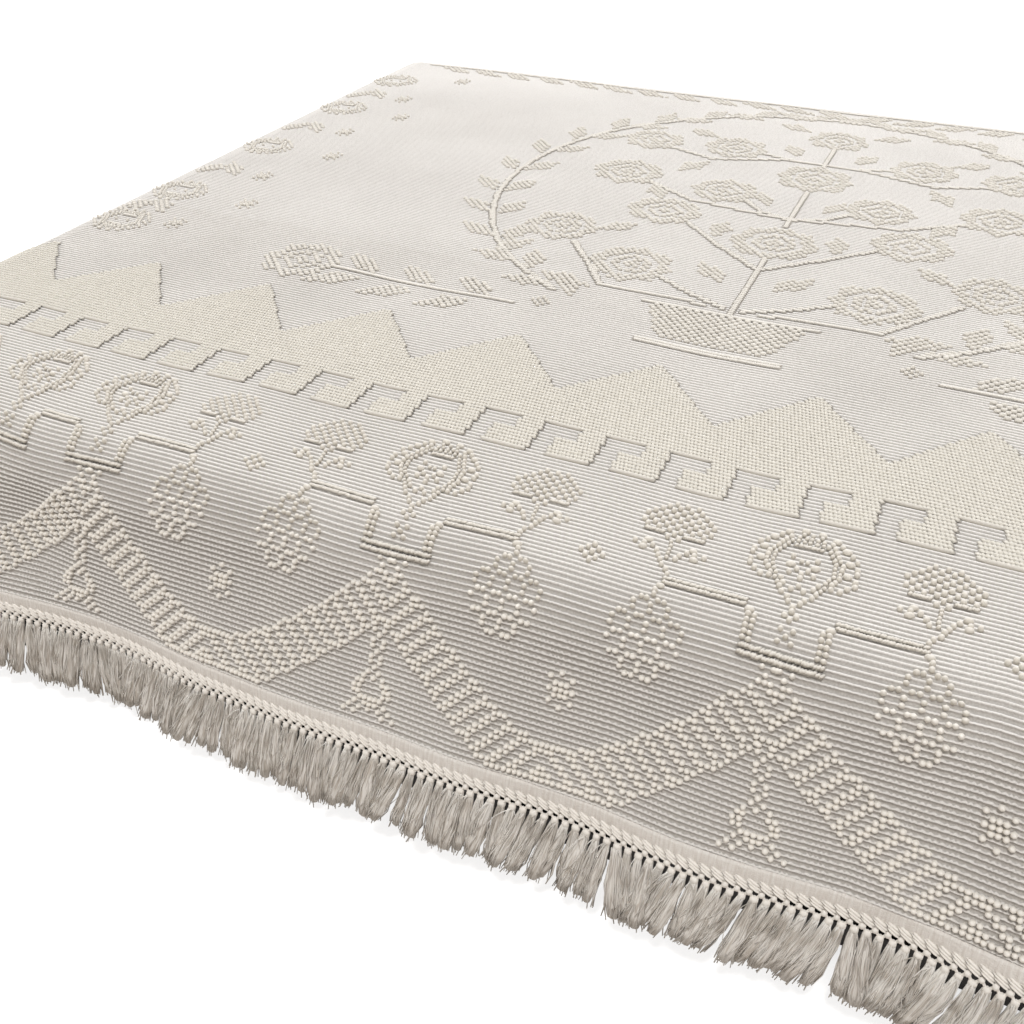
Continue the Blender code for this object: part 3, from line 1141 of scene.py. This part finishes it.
# The tape's section.  Columns: how far down from the hem, how far out from the cloth.
TAPE_SECTION = (
    (-0.0016, 0.0014), (-0.0010, 0.0036), (0.0014, 0.0034), (TAPE * 0.5, 0.0024),
    (TAPE, 0.0018), (TAPE + 0.0012, 0.0006), (TAPE + BRAID * 0.78, 0.0008),
    (TAPE + BRAID * 0.78, -0.0010), (-0.0016, -0.0010),
)
TAPE_STEP = 0.008
TAPE_END = 0.0004


def tape(start, length):
    """The header tape as a thin closed band."""
    s = np.linspace(TAPE_END, length - TAPE_END, int(length / TAPE_STEP))
    places, _, down, outward = hem_frames(start + s)
    rows = [places + down * drop + outward * lift for drop, lift in TAPE_SECTION]
    index = np.arange(len(s) * len(rows)).reshape(len(s), -1)
    drops = [drop for drop, _ in TAPE_SECTION]
    uv = np.stack([np.repeat(s, len(rows)), np.tile(drops, len(s))], axis=-1)
    polygons = [ring_quads(index), np.stack([index[0], index[-1][::-1]])]
    return np.stack(rows, axis=1).reshape(-1, 3), polygons, uv


def tube(paths, radii, sides, phase, widths, flatness=1.0):
    """Tubes along many paths: paths (n, k, 3), radii (n, k), closed at both ends."""
    count, steps, _ = paths.shape
    way = unit(np.gradient(paths, axis=1))
    side_way = unit(np.cross(way, np.broadcast_to(widths[:, None, :], way.shape)))
    other = np.cross(side_way, way)
    rings = []
    for k in range(sides):
        turn = phase[:, None, None] + 2 * math.pi * k / sides
        spoke = side_way * np.cos(turn) + other * np.sin(turn) * flatness
        rings.append(paths + spoke * radii[:, :, None])
    index = np.arange(count * steps * sides).reshape(count, steps, sides)
    caps = np.concatenate([index[:, 0, ::-1], index[:, -1]])
    around = np.abs(np.arange(sides) / sides - 0.5) * 2 * math.pi * radii.mean()
    down = np.linalg.norm(np.diff(paths, axis=1), axis=2).cumsum(axis=1)
    down = np.concatenate([np.zeros((count, 1)), down], axis=1)
    apart = np.arange(count)[:, None, None] * 0.037
    uv = [
        np.broadcast_to(around + apart, index.shape),
        np.broadcast_to(down[:, :, None] + apart, index.shape),
    ]
    vertices = np.stack(rings, axis=2).reshape(-1, 3)
    polygons = [reversed_quads(ring_quads(index)), caps]
    return vertices, polygons, np.stack(uv, axis=-1).reshape(-1, 2)


KNOT = bud(6, ((0.55, -1.0), (1.0, -0.4), (1.0, 0.4), (0.0, 1.05)))
YARN = bud(6, ((1.0, -0.1), (0.62, 0.75), (0.0, 1.0)), start=0.0)
# Half sizes of the knots and of the tassels' necks: along the hem, outward, down.
KNOT_SIZE = (0.0031, 0.0034, 0.0030)
NECK_SIZE = (0.0039, 0.0036, 0.0040)
LEG_RADIUS = 0.0014
LEG_BOW = 0.0004
# Columns: yarns of one braid stitch, place along it, place across it, half length.
STITCH_YARNS = ((-0.0018, -0.0023, 0.0088), (0.0, 0.0, 0.0104), (0.0018, 0.0023, 0.0088))
YARN_WIDTH = 0.0016
YARN_HEIGHT = 0.0028
YARN_LIFT = 0.0008
# How far a stitch runs along the hem and down for each length of it.
STITCH_SLANT = (0.90, 0.43)


def braid(start, count, pitch):
    """Slanting leaf-shaped stitches of three yarns, one at each knot."""
    places, along, down, outward = hem_frames(start + (np.arange(count) + 0.25) * pitch)
    slant = unit(along * STITCH_SLANT[0] + down * STITCH_SLANT[1])
    over = np.cross(slant, outward)
    middle = places + down * (TAPE + BRAID / 2) + outward * YARN_LIFT
    parts = []
    for ahead, aside, half_length in STITCH_YARNS:
        size = uneven((half_length, YARN_WIDTH, YARN_HEIGHT), count, 0.08)
        places = middle + slant * ahead + over * aside
        parts.append(scatter(YARN, places, (slant, over, outward), size))
    return parts


def header(start, length):
    """Braid stitches, a row of knots and, between them, the necks of the tassels."""
    count = round(length / PITCH)
    pitch = length / count
    places, along, down, outward = hem_frames(start + np.arange(1, count) * pitch)
    knots = places + down * (TAPE + BRAID + KNOT_DROP)
    size = uneven(KNOT_SIZE, count - 1, 0.12)
    parts = [scatter(KNOT, knots, (along, outward, -down), size)]

    places, along, down, outward = hem_frames(start + (np.arange(count) + 0.5) * pitch)
    hang = toward_vertical(down, 0.4)
    necks = places + down * (TAPE + BRAID + KNOT_DROP) + hang * (NECK_DROP - KNOT_DROP)
    size = uneven(NECK_SIZE, count, 0.12)
    parts.append(scatter(KNOT, necks, (along, outward, -hang), size))

    facing = outward[:-1]
    legs = [
        np.stack([knots, (knots + foot) / 2 + facing * LEG_BOW, foot], axis=1)
        for foot in (necks[:-1], necks[1:])
    ]
    legs = np.concatenate(legs)
    radii = np.full(legs.shape[:2], LEG_RADIUS)
    parts.append(tube(legs, radii, 4, np.zeros(len(legs)), np.concatenate([facing] * 2))[:2])
    return joined(braid(start, count, pitch) + parts), Tassels(necks, along, hang, outward)


def drift(count, reach):
    """A slow random change along the fringe, one value a tassel."""
    kernel = np.hanning(reach + 2)[1:-1]
    slow = np.convolve(draw.normal(0, 1, count + 2 * reach), kernel / kernel.sum(), "same")
    slow = slow[reach:-reach]
    return slow / max(slow.std(), 1e-9)


# Along a tassel: sections, share of its spread, strands' thickness, width of its core.
SECTIONS = np.array((0.0, 0.11, 0.30, 0.52, 0.78, 1.0))
SPREAD = (0.42, 0.62, 0.90, 1.00, 1.05, 1.12)
THICK = (0.95, 1.0, 1.0, 1.0, 0.9, 0.6)
CORE = (0.0032, 0.0040, 0.0053, 0.0061, 0.0063, 0.0048)
CORE_FLATNESS = 0.62
CORE_LENGTH = 0.94
TASSEL_WIDTH = 0.0061
TASSEL_DEPTH = 0.0040
STRAND_RADIUS = 0.00095
STRAND_WAVE = 0.0020
STRAND_STRAY = 0.0013
STRAY_RADIUS = 0.0005
STRAY_BOW = 0.0050
STRAY_LIFT = 0.0010
# How far tassels lean along the hem and swing out: all of them, in slow drifts, each one.
LEAN = (-0.019, 0.0075, 0.0040)
SWING = (0.004, 0.0022, 0.0015)
# Every third tassel hangs further out and is fuller than the others.
FORWARD = 0.0045
FULLNESS = (1.15, 0.95)


class Tassels:
    """One run's tassels of loose yarn, combed aside.  Each array has a row a tassel."""

    def __init__(self, foot, along, hang, outward):
        self.foot, self.along, self.hang, self.outward = foot, along, hang, outward
        self.count = count = len(foot)
        self.lean = LEAN[0] + LEAN[1] * drift(count, 4) + draw.normal(0, LEAN[2], count)
        front = np.arange(count) % 3 == draw.integers(0, 3)
        nearness = np.where(front, FORWARD, 0.0) + draw.uniform(-SWING[2], SWING[2], count)
        self.swing = SWING[0] + SWING[1] * drift(count, 7) + nearness
        length = TASSEL * (1 + 0.025 * drift(count, 3))
        self.length = length * draw.uniform(0.97, 1.03, count)
        self.fullness = np.where(front, *FULLNESS) * draw.uniform(0.90, 1.10, count)
        self.width = TASSEL_WIDTH * self.fullness[:, None]
        self.depth = TASSEL_DEPTH * self.fullness[:, None]

    def paths(self, aside, outside, length):
        """Paths that hang from the necks, set aside along the hem and outside of it."""
        path = np.empty((self.count, len(SECTIONS), 3))
        for j, share in enumerate(SECTIONS):
            fall = toward_vertical(self.hang, 0.75 * share)
            path[:, j] = self.foot + fall * (share * length)[:, None]
            path[:, j] += self.along * (aside[:, j] + self.lean * share**1.15)[:, None]
            path[:, j] += self.outward * (outside[:, j] + self.swing * share)[:, None]
        return path

    def core(self):
        """The full middle."""
        none = np.zeros((self.count, len(SECTIONS)))
        path = self.paths(none, none, self.length * CORE_LENGTH)
        radii = np.outer(self.fullness, CORE)
        phase = draw.uniform(0, 1, self.count)
        return tube(path, radii, 8, phase, self.outward, CORE_FLATNESS)

    def strand(self, k, strands):
        """One wavy strand a tassel, the one at number k of those round the middle."""
        turn = 2 * math.pi * (k + draw.uniform(-0.4, 0.4, self.count)) / strands
        curl = draw.uniform(0, 2 * math.pi, (self.count, 1))
        tight = draw.uniform(7, 15, (self.count, 1))
        wave = np.sin(curl + tight * SECTIONS) * SECTIONS**0.7 * STRAND_WAVE
        aside = np.cos(turn)[:, None] * self.width * SPREAD + wave
        outside = np.sin(turn)[:, None] * self.depth * SPREAD + np.roll(wave, 1, axis=0)
        stray = draw.normal(0, STRAND_STRAY, (self.count, 1)) * SECTIONS**2
        length = self.length * draw.uniform(0.88, 1.03, self.count)
        radii = STRAND_RADIUS * draw.uniform(0.75, 1.2, (self.count, 1)) * np.array([THICK])
        path = self.paths(aside + stray, outside, length)
        return tube(path, radii, 3, curl[:, 0], self.outward)

    def stray(self):
        """One loose yarn a tassel, bowed over its front."""
        start = draw.uniform(-0.5, 0.5, (self.count, 1)) * self.width
        bow = draw.normal(0, STRAY_BOW, (self.count, 1)) * np.sin(math.pi * SECTIONS**0.8)
        radii = np.full(bow.shape, STRAY_RADIUS)
        outside = np.broadcast_to(self.depth + STRAY_LIFT, bow.shape)
        length = self.length * draw.uniform(0.55, 1.02, self.count)
        path = self.paths(start + bow, outside, length)
        return tube(path, radii, 3, start[:, 0], self.outward)

    def yarns(self, strands, strays):
        parts = [self.core()]
        parts += [self.strand(k, strands) for k in range(strands)]
        parts += [self.stray() for _ in range(strays)]
        points, polygons = joined([part[:2] for part in parts])
        return points, polygons, np.concatenate([part[2] for part in parts])


# ---- the mattress ----
WELT_OUT = 0.0035
WELT_HALF = 0.004
WELT_MIDDLES = (MATTRESS_HIGH[2] - EDGE_RADIUS - 0.012, 0.045)
CORNER_STEPS = 10


def arc(steps, whole=math.pi / 2):
    return [whole * k / steps for k in range(steps + 1)]


def mattress_block(finish):
    """A plain block, finely rounded, with a welt round its upper and lower edge."""
    high = MATTRESS_HIGH[2]
    profile = [
        (EDGE_RADIUS * math.sin(a), high - EDGE_RADIUS * (1 - math.cos(a))) for a in arc(10)
    ]
    for middle in WELT_MIDDLES:
        profile += [
            (EDGE_RADIUS + WELT_OUT * math.sin(a), middle + WELT_HALF * math.cos(a))
            for a in arc(6, math.pi)
        ]
    profile += [
        (EDGE_RADIUS - FOOT_RADIUS * (1 - math.cos(a)), FOOT_RADIUS * (1 - math.sin(a)))
        for a in arc(4)
    ]
    starts = np.array([[math.pi], [1.5 * math.pi], [0.0], [0.5 * math.pi]])
    heading = (starts + arc(CORNER_STEPS)).ravel()
    corner_x = HALF_X * np.repeat((-1, 1, 1, -1), CORNER_STEPS + 1)
    corner_y = HALF_Y * np.repeat((-1, -1, 1, 1), CORNER_STEPS + 1)
    reach, height = np.array(profile).T[..., None]
    x = corner_x + np.cos(heading) * reach
    y = corner_y + np.sin(heading) * reach
    rings = np.stack(np.broadcast_arrays(x, y, height), axis=-1)
    index = np.arange(x.size).reshape(x.shape)
    polygons = [ring_quads(index), np.stack([index[0], index[-1][::-1]])]
    return mesh_piece("mattress_block", rings.reshape(-1, 3), polygons, finish)


# ---- building it all ----
cream = tuft_cotton("tuft_cotton", (0.63, 0.595, 0.525), (1.0, 0.97, 0.91))
pale_cream = tuft_cotton("pale_tuft_cotton", (0.79, 0.765, 0.705), (0.99, 0.965, 0.91))
# The rolls' darker copy of the tufts' cream is painted shade on their smooth surfaces.
shaded_roll_cream = tuft_cotton("roll_cotton", (0.46, 0.43, 0.375), (0.74, 0.71, 0.65), 500.0)
knot_cream = tuft_cotton("knot_cotton", (0.70, 0.66, 0.60), (0.98, 0.95, 0.90), 500.0)
yarn = fringe_yarn()
tape_finish = tape_cotton()

cloth = ribbed_cloth(ribbed_cotton())
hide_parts("bedspread")

stitches = stem_stitches()
for name, parts, finish in (
    ("border_loops", [loops()], loop_cotton()),
    ("border_rolls", rolls(), shaded_roll_cream),
    ("front_tufts", tufts(front_border(), BALL, askew=True), cream),
    ("side_tufts", tufts(side_borders(), FAR_BALL), pale_cream),
    ("centre_tufts", tufts(centre_piece(), FAR_BALL) + [stitches], pale_cream),
):
    piece = mesh_piece(name, *joined(parts), finish)

for side, start, length, strands, strays in HEM_RUNS:
    points, polygons, uv = tape(start, length)
    band = mesh_piece("hem_tape_" + side, points, polygons, tape_finish, uv)
    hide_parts("fringe_" + side)
    (points, polygons), hanging = header(start, length)
    knots = mesh_piece("knots_" + side, points, polygons, knot_cream)
    points, polygons, uv = hanging.yarns(strands, strays)
    tassels = mesh_piece("tassels_" + side, points, polygons, yarn, uv)

# The block's near-black cover is painted shade under the spread.
block = mattress_block(mattress_cover())
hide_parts("mattress")


# ---- floor, light, camera ----
bpy.ops.mesh.primitive_plane_add(size=30, location=(0, 0, 0))
floor = bpy.context.object
floor.name = "floor"
floor.visible_diffuse = False
pale = Nodes("pale_floor", roughness=0.8, sheen=0.0)
patches = pale.noise(pale.surface("Position"), scale=3.0, detail=2.0)
pale.colours(patches, (0.93, 0.93, 0.93), (0.95, 0.95, 0.95))
pale.set(pale.shader, "Emission Color", (1, 1, 1, 1))
pale.set(pale.shader, "Emission Strength", 0.75)
floor.data.materials.append(pale.material)


def sun(name, elevation, turn, energy, softness, colour):
    """A sun by its elevation and turn, in degrees; softness is the angle it fills."""
    data = bpy.data.lights.new(name, "SUN")
    data.energy = energy
    data.angle = math.radians(softness)
    data.color = colour
    light = bpy.data.objects.new(name, data)
    bpy.context.collection.objects.link(light)
    light.rotation_euler = (math.radians(90 - elevation), 0, math.radians(turn))


sun("key_light", elevation=48, turn=200, energy=1.18, softness=12, colour=(0.975, 0.988, 1.0))
sun("high_light", elevation=70, turn=4, energy=1.32, softness=9, colour=(1.0, 0.975, 0.94))

# A studio's walls: brightest just above the floor, so that they light the cloth's falls.
world = bpy.data.worlds.new("studio")
bpy.context.scene.world = world
world.use_nodes = True
sky = world.node_tree
heading = sky.nodes.new("ShaderNodeTexCoord")
height = sky.nodes.new("ShaderNodeSeparateXYZ")
ramp = sky.nodes.new("ShaderNodeValToRGB")
low, high = ramp.color_ramp.elements
low.position, high.position = 0.0, 1.0
low.color = (0.38, 0.34, 0.30, 1)
high.color = (0.42, 0.43, 0.45, 1)
ramp.color_ramp.elements.new(0.06).color = (0.615, 0.535, 0.465, 1)
sky.links.new(heading.outputs["Generated"], height.inputs[0])
sky.links.new(height.outputs[2], ramp.inputs["Fac"])
sky.links.new(ramp.outputs["Color"], sky.nodes["Background"].inputs["Color"])
sky.nodes["Background"].inputs["Strength"].default_value = 1.0
bpy.context.scene.view_settings.view_transform = "Standard"


CAMERA_PLACE = (0.2574, -1.4562, 0.9408)
CAMERA_PITCH = 0.6318
CAMERA_YAW = 0.4192
LENS = 37.84
camera_data = bpy.data.cameras.new("camera")
camera_data.lens = LENS
camera_data.sensor_width = 36
camera_data.sensor_fit = "HORIZONTAL"
camera_data.clip_start = 0.02
camera_data.clip_end = 60
camera = bpy.data.objects.new("camera", camera_data)
bpy.context.collection.objects.link(camera)
camera.location = CAMERA_PLACE
camera.rotation_euler = (math.pi / 2 - CAMERA_PITCH, 0, CAMERA_YAW)
bpy.context.scene.camera = camera
